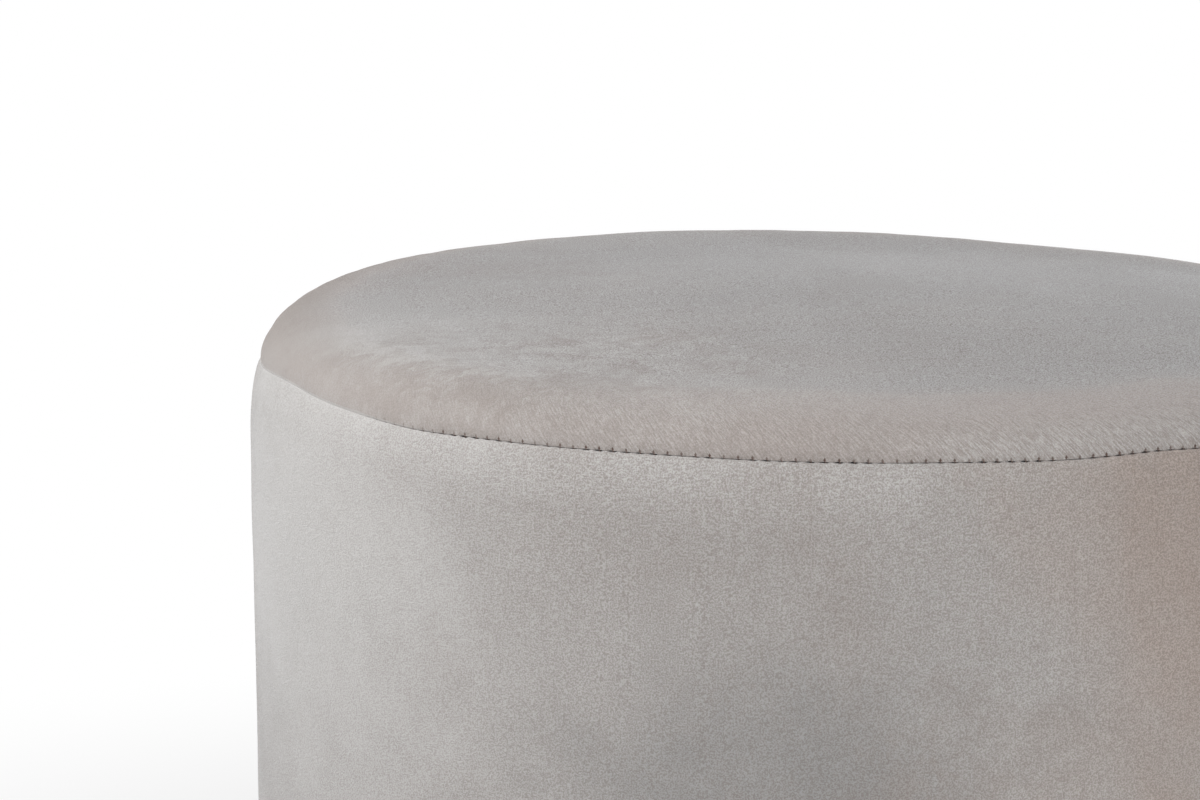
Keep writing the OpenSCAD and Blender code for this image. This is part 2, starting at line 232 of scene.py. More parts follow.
def inner_rings(ring, shares, heights):
    """Rings from a given one inwards to a spine on the X axis: at a share t, x keeps 1 - draw t and y keeps 1 - t."""
    t = np.asarray(shares)[None, :]
    x = ring[:, None, 0] * (1 - SPINE_DRAW * t)
    y = ring[:, None, 1] * (1 - t)
    return np.stack([x, y, np.broadcast_to(heights, x.shape)], -1)


def grid_faces(columns, rows, closed):
    """Quads of a grid whose points run along the rows inside each column."""
    i = np.arange(columns if closed else columns - 1)[:, None]
    j = np.arange(rows - 1)[None, :]
    a = (i * rows + j).ravel()
    b = ((i + 1) % columns * rows + j).ravel()
    return np.stack([a, b, b + 1, a + 1], -1)


# Points nearer than this are one, and edges shorter than this are dissolved
MERGED = 2e-6
DISSOLVED = 1e-6


def make_piece(name, points, faces, material, cloth=None, replaced=()):
    """A piece on the root body from points (n, 3), faces (m, 4) and cloth coordinates (n, 2)."""
    mesh = bpy.data.meshes.new(name)
    mesh.from_pydata(points, [], faces.tolist())
    if cloth is not None:
        layer = mesh.uv_layers.new(name="cloth")
        corners = np.empty(len(mesh.loops), np.int32)
        mesh.loops.foreach_get("vertex_index", corners)
        layer.uv.foreach_set("vector", cloth[corners].astype(np.float32).ravel())
    bm = bmesh.new()
    bm.from_mesh(mesh)
    bmesh.ops.remove_doubles(bm, verts=bm.verts, dist=MERGED)
    bmesh.ops.dissolve_degenerate(bm, edges=bm.edges, dist=DISSOLVED)
    bm.to_mesh(mesh)
    bm.free()
    mesh.polygons.foreach_set("use_smooth", np.ones(len(mesh.polygons), bool))
    mesh.materials.append(material)
    mesh.update()
    piece = bpy.data.objects.new(name, mesh)
    bpy.context.scene.collection.objects.link(piece)
    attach(piece, "root")
    if replaced:
        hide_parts(*replaced)
    return piece


def thicken(piece, thickness):
    """Gives a sheet its thickness inwards."""
    solid = piece.modifiers.new("thickness", "SOLIDIFY")
    solid.thickness = thickness
    solid.offset = -1


# Shader graphs


class Link:
    """A shader socket in a Python expression. Each operator adds a Math node."""

    def __init__(self, graph, socket):
        self.graph, self.socket = graph, socket

    def math(self, operation, *others):
        """A Math node whose first value is this socket."""
        return self.graph.add("Math", {"operation": operation}, dict(enumerate((self, *others))))

    def __add__(self, other):
        return self.math("ADD", other)

    def __mul__(self, other):
        return self.math("MULTIPLY", other)

    def __sub__(self, other):
        return self.math("SUBTRACT", other)

    def __truediv__(self, other):
        return self.math("DIVIDE", other)

    def __abs__(self):
        return self.math("ABSOLUTE")

    def __rsub__(self, other):
        return self.graph.add("Math", {"operation": "SUBTRACT"}, {0: other, 1: self})

    __radd__ = __add__
    __rmul__ = __mul__

    def clamped(self, low, high):
        """0 below low, 1 above high, smooth between."""
        return self.graph.add(
            "MapRange", {"interpolation_type": "SMOOTHSTEP"}, {"Value": self, "From Min": low, "From Max": high}
        )


class Graph:
    """The node tree of a new material, or of a new world."""

    def __init__(self, name, kind="Material"):
        group = bpy.data.worlds if kind == "World" else bpy.data.materials
        self.made = group.new(name)
        self.made.use_nodes = True
        self.tree = self.made.node_tree
        self.tree.nodes.clear()
        self.out = self.tree.nodes.new("ShaderNodeOutput" + kind)

    def add(self, kind, settings=None, inputs=None, output=0):
        """A node of a type, with its settings, then the values or links of its sockets. Returns one output."""
        node = self.tree.nodes.new("ShaderNode" + kind)
        for key, value in (settings or {}).items():
            setattr(node, key, value)
        for key, value in (inputs or {}).items():
            sockets = [s for s in node.inputs if s.enabled and key in (s.name, s.identifier)]
            socket = node.inputs[key] if isinstance(key, int) else sockets[0]
            if isinstance(value, Link):
                self.tree.links.new(value.socket, socket)
            elif socket.type == "RGBA":
                socket.default_value = (*value[:3], 1)
            else:
                socket.default_value = value
        outputs = [s for s in node.outputs if s.enabled]
        found = outputs[output] if isinstance(output, int) else next(s for s in outputs if s.name == output)
        return Link(self, found)

    def place(self, scale=(1, 1, 1), turn=(0, 0, 0)):
        """Object coordinates, scaled and turned."""
        own = self.add("TexCoord", output="Object")
        return self.add("Mapping", {}, {"Vector": own, "Scale": scale, "Rotation": turn})

    def axis(self, where, name):
        """X, Y or Z of a vector."""
        return self.add("SeparateXYZ", {}, {"Vector": where}, name)

    def noise(self, where, scale, detail=2, roughness=0.5, distortion=0):
        """Noise with mean 0.5, its scale in features per metre."""
        return self.add(
            "TexNoise",
            {},
            {"Vector": where, "Scale": scale, "Detail": detail, "Roughness": roughness, "Distortion": distortion},
        )

    def mix(self, share, a, b):
        """Colour a where share is 0 and b where it is 1."""
        return self.add("Mix", {"data_type": "RGBA"}, {"Factor_Float": share, "A_Color": a, "B_Color": b})

    def hairs(self, where, angle, length, width):
        """Noise drawn out into strokes of a length and a width, which lie at an angle to the first axis."""
        turned = self.add("Mapping", {}, {"Vector": where, "Rotation": (0, 0, -angle)})
        drawn = self.add("Mapping", {}, {"Vector": turned, "Scale": (1 / length, 1 / width, 1)})
        return self.noise(drawn, 1, 3, 0.6)

    def nearest(self, where, places):
        """1 within a fifth of each place's radius, and 0 from its radius outwards."""
        found = 0
        for centre, radius in places:
            centre = [part * MM for part in centre]
            apart = self.add("VectorMath", {"operation": "DISTANCE"}, {0: where, 1: centre}, "Value")
            found = (1 - apart.clamped(0.2 * radius * MM, radius * MM)).math("MAXIMUM", found)
        return found

    def bump(self, height, distance, strength=1.0, below=None):
        """Normals from a height that is 1 at the given distance in metres."""
        inputs = {"Strength": strength, "Distance": distance, "Height": height}
        if below:
            inputs["Normal"] = below
        return self.add("Bump", {}, inputs)

    def seen_directly(self):
        """1 for rays from the camera, from reflections and through glass."""
        rays = [self.add("LightPath", output=f"Is {kind} Ray") for kind in ("Camera", "Glossy", "Transmission")]
        return rays[0].math("MAXIMUM", rays[1]).math("MAXIMUM", rays[2])

    def end_in(self, shader):
        """Links a shader to the output. Returns the material or the world."""
        self.tree.links.new(shader.socket, self.out.inputs["Surface"])
        return self.made

    def finish(self, **inputs):
        """The Principled shader on the output. Names are the sockets', with _ for spaces."""
        values = {key.replace("_", " "): value for key, value in inputs.items()}
        return self.end_in(self.add("BsdfPrincipled", {}, values))

    def coat(self, share, a, b, roughness, height, distance, strength, **inputs):
        """A finish with a colour between a and b, a roughness, and a bump of a height."""
        shade, normal = self.mix(share, a, b), self.bump(height, distance, strength)
        return self.finish(Base_Color=shade, Roughness=roughness, Normal=normal, **inputs)


# Places, as centre and radius in mm, and weaker the further off the cloth: where hands have brushed the pile of the
# top and of the sides, and where light and shade are painted on the velvet
BRUSHED_ON_TOP = [((-270, -160, 425), 135), ((230, -60, 490), 120)]
BRUSHED_ON_SIDES = [((-85, -195, 300), 85), ((150, 210, 230), 90), ((-330, 160, 250), 120)]
# Painted light on the sides: paler velvet at the front of the left end and at the back of the right end
PAINTED_LIGHT_PLACES = [((-362, -160, 362), 162), ((350, 150, 340), 160)]
# Painted shade low on the front of both lobes
PAINTED_SHADE_PLACES = [((-165, -212, 250), 130), ((150, -212, 240), 110)]


def velvet(colours, shape, total):
    """Short pile: tones with the pile's sheen painted in, painted light and painted shade, brushed patches, strokes,
    grain, and the marks of the stitches.

    The cloth coordinates, in mm here, run along the seam and across it, above 0 on the top."""
    g = Graph("velvet")
    everywhere = g.place()
    uv = g.add("UVMap", {"uv_map": "cloth"})
    along = g.axis(uv, "X") / MM
    across = g.axis(uv, "Y") / MM
    apart = abs(across)
    on_side = 1 - across.clamped(-0.2, 0.2)
    on_top = 1 - on_side
    from_left_end = along.math("PINGPONG", total / MM / 2)
    open_seam = from_left_end.clamped(205, 262)
    wobble = (g.noise(everywhere, 26, 4, 0.6) - 0.5) * 36
    swirl = g.add("TexNoise", {}, {"Vector": everywhere, "Scale": 13, "Detail": 4, "Roughness": 0.6}, "Color")
    swirl = g.add("VectorMath", {"operation": "SUBTRACT"}, {0: swirl, 1: (0.5, 0.5, 0.5)})
    torn = g.add("VectorMath", {"operation": "MULTIPLY_ADD"}, {0: swirl, 1: (0.17, 0.17, 0.17), 2: everywhere})

    # Tones: the seat, its rolled lip, the sides, and the hollows of the waist, which widen up to the seam. The seat's
    # cooler tone and the lip's browner one are painted sheen of the pile, which changes with its lean
    lip = (1 - (across + wobble).clamped(18, 72)) * 0.65
    lip = (lip + (1 - (across + wobble * 0.45).clamped(35, 43)) * 0.35) * on_top
    from_waist = abs(g.axis(torn, "X")) / MM
    spread = (1 - apart.clamped(10, 110)) * 36
    hollow = (1 - (from_waist - spread).clamped(8, 84)) * on_side
    shade = g.mix(on_side, colours.seat, colours.side)
    shade = g.mix(lip, shade, colours.shoulder)
    shade = g.mix(hollow, shade, colours.waist)

    # Painted light: paler velvet where the sides face the lamps and in bands along the seam, with the pale parts of a
    # random drift. Painted shade: darker velvet low on the front, and along the seam round the left end, with random
    # wear
    drift = g.noise(everywhere, 6, 4, 0.6, 0.8).clamped(0.42, 0.66)
    lit_band_below_seam = (1 - (apart + wobble * 0.3).clamped(6, 30)) * on_side * from_waist.clamped(60, 150)
    lit_band_above_seam = (1 - (apart + wobble * 0.2).clamped(5, 20)) * on_top * (1 - from_waist.clamped(80, 160))
    # Painted light on the sides, at the places listed above
    painted_light_area = g.nearest(torn, PAINTED_LIGHT_PLACES)
    # Painted light and the pale parts of the random drift, on one mask
    painted_light_and_drift = (painted_light_area * 0.78).math("MAXIMUM", lit_band_below_seam * 0.9 + lit_band_above_seam * 0.6).math("MAXIMUM", drift * 0.35)
    shade = g.mix(painted_light_and_drift, shade, colours.lit_and_brushed)
    near_left_end = 1 - from_left_end.clamped(225, 340)
    # Painted shade: a darker, browner band on the rolled edge along the seam round the left end
    shade_by_left_seam = (1 - (apart + wobble * 0.5).clamped(10, 42)) * near_left_end * on_top
    worn = g.noise(everywhere, 9, 5, 0.65, 0.8).clamped(0.52, 0.74)
    # Painted shade low on the front of the sides
    shade = g.mix(g.nearest(torn, PAINTED_SHADE_PLACES) * 0.8, shade, colours.painted_shade)
    shade = g.mix((shade_by_left_seam * 0.75).math("MAXIMUM", worn * 0.3), shade, colours.rubbed)

    # Rubbed and raised pile, strongest where hands have been
    handled = g.nearest(torn, BRUSHED_ON_TOP) * on_top + g.nearest(torn, BRUSHED_ON_SIDES) * on_side
    clouds = g.noise(everywhere, 46, 3, 0.6, 1.2)
    strokes = g.noise(g.place((1, 1, 0.4), (0.3, 0.2, 0.5)), 120, 3, 0.6, 1.6)
    pile = clouds * 0.45 + strokes * 0.55
    rubbed = (pile + handled * 0.05).clamped(0.47, 0.70) * (handled * (0.95 - on_side * 0.5) + 0.25)
    by_seam = (1 - apart.clamped(10, 44)) * on_top
    raised = (1 - (pile - handled * 0.05).clamped(0.34, 0.60)) * handled * on_top * (1 - by_seam * 0.7)
    shade = g.mix(raised * 0.75, shade, colours.lit_and_brushed)
    shade = g.mix(rubbed * 0.45, shade, colours.rubbed)
    smudges = g.noise(g.place((1, 1, 1.8), (0, 0, 0.6)), 38, 4, 0.65, 1.4).clamped(0.48, 0.60)
    shade = g.mix(smudges * handled * (0.5 - on_side * 0.28), shade, colours.rubbed)

    # Strokes that slant down to the seam on the top, and the rows of the pile on the sides
    slanting = g.hairs(uv, -0.85, 4.5 * MM, 0.62 * MM).clamped(0.40, 0.62)
    rows = g.hairs(uv, 0.06, 3.5 * MM, 0.75 * MM).clamped(0.38, 0.64) * (1 - apart.clamped(20, 90) * 0.6)
    upright = g.hairs(uv, 1.57, 12 * MM, 0.7 * MM).clamped(0.38, 0.66) * (worn * 0.6 + 0.4)
    # Fewer strands where light is painted
    strands = (slanting * by_seam * 2.0 + (rows * 0.8 + upright * 0.8) * on_side) * (1 - painted_light_area * 0.85)
    shade = g.mix(strands * 0.4, shade, colours.rubbed)

    # Grain
    grain = g.noise(everywhere, 1700, 1, 0.7)
    # Less grain where light is painted
    speckle = grain.clamped(0.36, 0.64) * (1 - painted_light_area * 0.4) * (1 - by_seam * 0.45)
    shade = g.mix(speckle * (0.72 - on_side * 0.31 - lip * 0.26), shade, colours.depth)

    # Seams: a painted highlight where the cloth closes over the seam, else a tick over each stitch, unevenly dark and
    # tall, and a broken line. The two end seams have a tick beside each stitch and a line
    # Painted highlight along the closed seam, where the crevice would be shaded
    shade = g.mix((1 - apart.clamped(0.2, 1.0)) * (1 - open_seam) * 0.45, shade, colours.lit_and_brushed)
    stitch = shape.stitch / MM
    beside = abs((along / stitch).math("FRACT") - 0.5) * stitch
    count = g.add("CombineXYZ", {}, {"X": (along / stitch).math("FLOOR")})
    uneven = g.add("TexWhiteNoise", {"noise_dimensions": "3D"}, {"Vector": count}, "Value")
    tall = abs(across - 0.5 - uneven * 0.25)
    tick = (1 - (beside * 1.4 + tall * 0.85).clamped(0.4, 1.0)) * (uneven * 0.5 + 0.5)
    line = (1 - apart.clamped(0.05, 0.45)) * g.noise(uv, 130).clamped(0.35, 0.65) * 0.2
    end = along.math("PINGPONG", total / MM / 4)
    end_beside = abs((across / stitch).math("FRACT") - 0.5) * stitch
    end_tick = 1 - (end_beside * 1.6 + abs(end - 0.7) * 0.75).clamped(0.25, 0.85)
    end_line = (1 - end.clamped(0.05, 0.4)) * 0.5
    marks = (tick.math("MAXIMUM", line) * open_seam).math("MAXIMUM", end_tick.math("MAXIMUM", end_line) * on_side)
    shade = g.mix(marks * 0.97, shade, colours.stitched)

    height = g.bump(speckle + strands * 0.8, 0.25 * MM, 0.5)
    height = g.bump(drift * 0.5 + rubbed, 0.4 * MM, 0.3, height)
    return g.finish(
        Base_Color=shade,
        Roughness=0.92 - rubbed * 0.06,
        Normal=height,
        Specular_IOR_Level=0.2,
        Sheen_Weight=0.3,
        Sheen_Roughness=0.4,
        Sheen_Tint=(0.93, 0.96, 1.0),
    )


# Soft pieces


# The seam: how far in and down it lies, the reach of its pull and the share of it where the seam is closed, and half
# the gap between the cloths
SEAM_SUNK = np.array([0.15, 0.1]) * MM
SEAM_PULL = 0.9 * MM
CLOSED_PULL = 0.2
SEAM_GAP = 0.1 * MM
# Reach of a stitch, and of the calm right beside the seam
STITCH_REACH = 2.6 * MM
SEAM_EDGE = 2 * MM
# The seam's lift: its fade over the top, the heights between which it grows up the side, and its random part
LIFT_FADE = 14 * MM
LIFT_END = (60 * MM, 120 * MM)
LIFT_ON_SIDE = (260 * MM, 400 * MM)
WANDER = 0.35 * MM
# Near both ends: half width, the top's swell and the side's draw
END_WIDTH = 150 * MM
TOP_FULLNESS = 1.3 * MM
SIDE_DRAW = 1.4 * MM
# The side's foot, and its pleats
SIDE_FOOT = 14 * MM
PLEAT_HEIGHT = 1.3 * MM
PLEAT_PITCH = 27 * MM
# Faces of the padding from the outline, the block's rounding, and the gap under the cover
WADDING_FACE = -15.1 * MM
BLOCK_FACE = -15.3 * MM
SHEET_BACK = -11.5 * MM
BLOCK_ROUND = 9 * MM
SKIN_GAP = 0.5 * MM

# Where the seam strays from its plane: length from the left end along the front, half width and height
STRAYS = MM * np.array(
    [(50, 52, -4.2), (148, 30, 1.9), (237, 26, -1.0), (335, 38, 0.5), (478, 22, -0.45), (518, 14, 0.55)]
)
# Where the photograph starts and ends to show the seam, as lengths from the left end
SHOWN_FROM = (-60 * MM, 20 * MM)
SHOWN_TO = (540 * MM, 620 * MM)


def stations(outline, shape, per_stitch):
    """Lengths along the whole outline: a whole number of stitches, and as many steps in each as asked."""
    count = 2 * round(outline.total / 2 / shape.stitch) * per_stitch
    return np.arange(count) * outline.total / count


def seam_point(shape):
    """Where both panels meet in the seam, as (out, height)."""
    return np.array([-shape.seam_inset, shape.seam_height]) - SEAM_SUNK


def allowance(shape, near, far):
    """The seam allowance, turned in flat: points 8 and 13 mm in, at heights over the seam."""
    return np.array([[-8 * MM, shape.seam_height + near], [-13 * MM, shape.seam_height + far]])


def bell(x, place, wide):
    """A bell curve, exp(-((x - place) / wide)²)."""
    return np.exp(-(((x - place) / wide) ** 2))


def from_left_end(outline, along):
    """The signed length from the left end, above 0 along the front."""
    return np.mod(along + outline.total / 2, outline.total) - outline.total / 2


def seam_lift(outline, along):
    """How much higher than its plane the seam runs: a bell curve for each stray, and small random waves elsewhere."""
    s = from_left_end(outline, along)
    lift = sum(height * bell(s, place, wide) for place, wide, height in STRAYS)
    p, _, _ = outline.at(along)
    elsewhere = 1 - ease(s, *SHOWN_FROM) * (1 - ease(s, *SHOWN_TO))
    return lift + WANDER * elsewhere * ripples(p, 0.10, 0.30, 3)


def open_share(outline, along):
    """0 round the left end, where the cloth closes over the seam and hides its stitches, and 1 elsewhere."""
    return ease(np.abs(from_left_end(outline, along)), 190 * MM, 262 * MM)


def near_end(outline, along):
    """A bell curve over each end of the pouf, 1 at the end."""
    from_end = outline.total / 4 - np.abs(np.mod(along, outline.total / 2) - outline.total / 4)
    return bell(from_end, 0, END_WIDTH)


def draw_in(points, outline, along, distance, pull):
    """Draws the cloth to the seam by a pull (out, up) times exp(-distance / SEAM_PULL), and not the allowance."""
    share = np.where(distance < 0, 0, np.exp(-np.abs(distance) / SEAM_PULL))[None, :]
    share = share * (CLOSED_PULL + (1 - CLOSED_PULL) * open_share(outline, along)[:, None])
    _, out, _ = outline.at(along)
    points[..., :2] += out[:, None] * (share * pull[0])[..., None]
    points[..., 2] += share * pull[1]


def lifted(outline, along, distance):
    """The seam's lift over the top: it fades as exp(-distance / LIFT_FADE), and to nothing within LIFT_END."""
    fade = np.exp(-distance / LIFT_FADE) * (1 - ease(distance, *LIFT_END))
    return seam_lift(outline, along)[:, None] * fade[None, :]


def seam_gathers(outline, along, distance, shape):
    """Height of the cloth by the seam: a cosine of the stitches that fades, and a random field 0 in the seam."""
    s = along[:, None]
    uneven = 1 + 0.35 * ripples(s[..., None], 0.012, 0.09, 5)
    stitch = -np.cos(2 * math.pi * (s / shape.stitch - 0.5))
    pull = ripples(s[..., None], 0.016, 0.06, 9)
    shown = open_share(outline, along)[:, None]
    dips = 0.20 * MM * shown * stitch * uneven * np.exp(-distance / STITCH_REACH)
    return dips + 0.22 * MM * pull * (np.exp(-distance / LIFT_FADE) - np.exp(-distance / SEAM_EDGE))


def roll_section(shape, inset=0.0):
    """The rolled edge from the seam to the flat of the seat: a quarter of an ellipse, moved in by inset."""
    base = (-shape.seam_inset - shape.roll_depth, shape.seam_height + inset)
    angles = np.concatenate([[0, 0.35, 2.5, 5, 8, 12], np.linspace(17, 90, 14)])
    return bend(base, shape.roll_depth - inset, shape.edge_height - shape.seam_height - 2 * inset, angles)


def crown_heights(shape, shares, inset=0.0):
    """Heights over the seat: a cosine swell from the rolled edge's end to the spine."""
    rise = shape.crown_height - shape.edge_height
    return shape.edge_height - inset + rise * (1 - np.cos(math.pi * np.asarray(shares))) / 2


def over_seat(outline, along, section, shape, inset=0.0, rings=15):
    """A section closed over the seat to the spine, as (points, normals, distance walked)."""
    points, normals = carried(outline, along, section)
    shares = np.linspace(0, 1, rings + 1)[1:]
    crown = inner_rings(points[:, -1, :2], shares, crown_heights(shape, shares, inset))
    up = np.zeros_like(crown)
    up[..., 2] = 1
    step = walked(section)[-1] + shares * shape.width / 2
    return np.concatenate([points, crown], 1), np.concatenate([normals, up], 1), np.append(walked(section), step)


def seat_unevenness(points, distance):
    """Soft dents and swells of the stuffed seat, which fade towards the seam."""
    flat = points[..., :2]
    uneven = 0.45 * MM * ripples(flat, 0.11, 0.30, 21) + 0.12 * MM * ripples(flat, 0.03, 0.08, 22)
    return uneven * ease(distance, 3 * MM, 50 * MM)


def side_unevenness(points):
    """Soft dents and swells of the padded side: two random fields, one wide and one fine."""
    return 0.40 * MM * ripples(points, 0.12, 0.34, 31) + 0.10 * MM * ripples(points, 0.03, 0.08, 32)


def grid_piece(name, points, material, closed, cloth=None, replaced=()):
    """A piece from a grid of points (columns, rows, 3)."""
    columns, rows = points.shape[:2]
    return make_piece(
        name,
        points.reshape(-1, 3),
        grid_faces(columns, rows, closed),
        material,
        None if cloth is None else cloth.reshape(-1, 2),
        replaced,
    )


def cloth_coordinates(along, distance):
    """The length along the seam, and the distance from it: above 0 on the top, below on the side."""
    return np.stack(np.broadcast_arrays(along[:, None], distance[None, :]), -1)


def make_top(shape, outline, material):
    """The top panel: roll and crown, drawn to the seam, with gathers, dents and a swell at the ends."""
    along = stations(outline, shape, 3)
    base = roll_section(shape)
    turned_in = allowance(shape, 0.4 * MM, 0.6 * MM)[::-1]
    points, normals, step = over_seat(outline, along, np.concatenate([turned_in, base]), shape)
    distance = step - step[len(turned_in)]
    seen = np.abs(distance)
    draw_in(points, outline, along, distance, seam_point(shape) - base[0] + (0, SEAM_GAP))
    points[..., 2] += lifted(outline, along, seen)
    height = seam_gathers(outline, along, seen, shape) + seat_unevenness(points, seen)
    fuller = bell(seen, 26 * MM, 20 * MM) * ease(seen, 0, 10 * MM)
    height += TOP_FULLNESS * near_end(outline, along)[:, None] * fuller
    height[:, : len(turned_in)] = 0
    points += normals * height[..., None]
    piece = grid_piece(
        "top_panel", points, material, True, cloth_coordinates(along, distance), ["top_cover"]
    )
    thicken(piece, shape.cloth)


def side_section(shape, inset=0.0):
    """The side from the turned-under strip up to the seam, moved in by inset: straight parts and two ellipse arcs."""
    foot = shape.strip_height
    r = shape.turn_radius
    swell_z = shape.seam_height - shape.swell_height
    swell = np.concatenate([np.linspace(0, 60, 9), [66, 72, 77, 81, 84.5, 87, 90]])
    strip, pleated, turn = [(-x, foot + inset) for x in (shape.strip_width, SIDE_FOOT, r)]
    return np.concatenate(
        [
            [strip],
            straight(strip, pleated, 5),
            straight(pleated, turn, 5),
            bend((-r, foot + r), r - inset, r - inset, np.linspace(-90, 0, 10)[1:]),
            straight((-inset, foot + r), (-inset, swell_z), 32)[:-1],
            bend((-shape.seam_inset, swell_z), shape.seam_inset - inset, shape.swell_height - inset, swell),
        ]
    )


def pleats(outline, along):
    """Folds of the cloth that is gathered under the lobes: sharp ridges at uneven places, none in the hollows."""
    _, _, lobe = outline.at(along)
    s = along + 6 * MM * ripples(along[:, None], 0.05, 0.2, 41)
    ridge = 1 - np.abs(np.sin(math.pi * s / PLEAT_PITCH))
    return lobe * ridge**2.5


def make_side(name, node, first, shape, outline, material):
    """One side panel from an end seam to the other, with columns a third of a stitch apart and its edges turned in.

    Its height is the sum of the gathers, dents, pleats, the draw near the ends, and the end seams with stitches."""
    half = outline.total / 2
    steps = round(half / (shape.stitch / 3))
    close = np.array([0.1, 0.5, 1.0, 1.6, 2.4]) * MM
    middle = np.arange(2, steps - 1) * half / steps
    middle = middle[(middle > close[-1]) & (middle < half - close[-1])]
    local = np.concatenate([[0], close, middle, half - close[::-1], [half]])
    along = first + local
    section = side_section(shape)
    edge = len(section) - 1
    section = np.concatenate([section, allowance(shape, -0.5 * MM, -0.7 * MM)])
    points, normals = carried(outline, along, section)
    step = walked(section)
    distance = step[edge] - step
    seen = np.abs(distance)
    draw_in(points, outline, along, distance, seam_point(shape) - section[edge] - (0, SEAM_GAP))
    points[..., 2] += seam_lift(outline, along)[:, None] * ease(points[..., 2], *LIFT_ON_SIDE)

    inwards, high = -section[:, 0], section[:, 1]
    calm = ease(seen, 3 * MM, 40 * MM)[None, :] * ease(points[..., 2], shape.strip_height, 40 * MM)
    height = seam_gathers(outline, along, seen, shape) + side_unevenness(points) * calm
    under = ease(inwards, 0.5 * MM, 5 * MM) * (1 - ease(inwards, 10 * MM, 13.5 * MM)) * (high < SIDE_FOOT)
    height += PLEAT_HEIGHT * pleats(outline, along)[:, None] * under[None, :]
    drawn = np.exp(-seen / (24 * MM)) - np.exp(-seen / SEAM_EDGE)
    height -= SIDE_DRAW * near_end(outline, along)[:, None] * drawn
    height[:, edge + 1 :] = 0
    from_end = np.minimum(local, half - local)[:, None]
    stitch = -np.cos(2 * math.pi * (distance / shape.stitch - 0.5))[None, :]
    body = (high > SIDE_FOOT) & (np.arange(len(section)) <= edge)
    end_draw = -1.1 * MM * np.exp(-from_end / (1.2 * MM)) + 0.16 * MM * stitch * np.exp(-from_end / STITCH_REACH)
    height += end_draw * body[None, :]
    points += normals * height[..., None]
    _, out, _ = outline.at(along)
    for column in (0, -1):
        points[column, :, :2] -= out[column] * 3 * MM
    piece = grid_piece(name, points, material, False, cloth_coordinates(along, -distance), [node])
    thicken(piece, shape.cloth)


def make_stitches(shape, outline, material):
    """Thread in the seams: at each stitch a short bar, bowed as a parabola into the cloth and tapered at both ends."""
    stitches = stations(outline, shape, 1)
    stitches = stitches + stitches[1] / 2
    p, out, _ = outline.at(stitches)
    seam = seam_point(shape)
    centre = np.concatenate([p + out * (seam[0] - 0.15 * MM), (seam[1] + seam_lift(outline, stitches))[:, None]], -1)
    outward = np.concatenate([out, np.zeros((len(out), 1))], -1)
    upward = 0 * outward + (0, 0, 1)

    # The end seams' bars stand in columns, and lie across them
    heights = np.arange(foot_of("side_cover_front") + 12 * MM, shape.seam_height - 6 * MM, shape.stitch)
    for way in (-1, 1):
        column = np.stack([0 * heights + way * (shape.length / 2 - 1.3 * MM), 0 * heights, heights], -1)
        centre = np.concatenate([centre, column])
        outward = np.concatenate([outward, 0 * column + (way, 0, 0)])
        upward = np.concatenate([upward, 0 * column + (0, 1, 0)])
    rings, sides = 7, 6
    t = np.linspace(-1, 1, rings)[None, :]
    a = 2 * math.pi * np.arange(sides)[:, None] / sides
    thick = 0.19 * MM * np.sqrt(np.clip(1.02 - t**4, 0, 1))
    lengthwise = np.broadcast_to(1.05 * MM * t, (sides, rings))
    bar = np.stack([lengthwise, -0.6 * MM * t**2 + thick * np.sin(a), thick * np.cos(a)], -1).reshape(-1, 3)
    axes = np.stack([upward, outward, np.cross(upward, outward)], 1)
    points = centre[:, None] + np.einsum("pk,nkd->npd", bar, axes)
    starts = np.arange(len(centre)) * len(bar)
    faces = (grid_faces(sides, rings, True)[None] + starts[:, None, None]).reshape(-1, 4)
    make_piece("seam_stitches", points.reshape(-1, 3), faces, material)


def make_wadding(shape, outline, material):
    """Loose wadding over the foam block: flat under the crown, down the block's side, and rolled at the edge."""
    along = stations(outline, shape, 1)
    skin = shape.cloth + SKIN_GAP
    foam_top, foot, r = top_of("seat_foam"), foot_of("top_wadding"), BLOCK_ROUND
    inner = bend((WADDING_FACE - r, foam_top - r), r + 0.9 * MM, r, [90, 60, 30, 0])
    inner = np.concatenate([inner, [[WADDING_FACE + 0.9 * MM, foot]]])
    rise = shape.edge_height - skin - foot
    roll = bend((-shape.seam_inset - shape.roll_depth, foot), shape.roll_depth - skin, rise, np.linspace(0, 90, 12))
    points, normals, step = over_seat(outline, along, np.concatenate([inner, roll]), shape, skin)
    under = inner_rings(points[:, 0, :2], np.linspace(1, 0, 9)[:-1], foam_top)
    seen = np.maximum(step - step[len(inner)], 0)
    fluff = np.minimum(0.2 * MM * ripples(points, 0.012, 0.05, 51), 0.2 * MM) * ease(seen, 3 * MM, 20 * MM)
    points = points + normals * (fluff + seat_unevenness(points, seen))[..., None]
    points[..., 2] += np.minimum(lifted(outline, along, seen), 0) * (np.arange(len(step)) >= len(inner))
    rings = np.concatenate([under, points], 1)
    piece = grid_piece("top_padding", rings, material, True, None, ["top_wadding"])


def make_foam_block(shape, outline, material):
    """The seat's foam block: cut sides, rounded upper edge, flat faces, slightly uneven from the saw."""
    along = stations(outline, shape, 1)
    low, high = foot_of("seat_foam"), top_of("seat_foam")
    out, r = BLOCK_FACE, BLOCK_ROUND
    cut = straight((out, low), (out, high - r), 8)
    rounded = bend((out - r, high - r), r, r, np.linspace(0, 90, 7)[1:])
    points, normals = carried(outline, along, np.concatenate([[[out - 2 * MM, low]], cut, rounded]))
    shares = np.linspace(0, 1, 9)[1:]
    top = inner_rings(points[:, -1, :2], shares, high)
    base = inner_rings(points[:, 0, :2], shares[::-1], low)
    points = points - normals * (0.1 * MM * (1 + ripples(points, 0.01, 0.05, 61)))[..., None]
    rings = np.concatenate([base, points, top], 1)
    piece = grid_piece("foam_block", rings, material, True, None, ["seat_foam"])


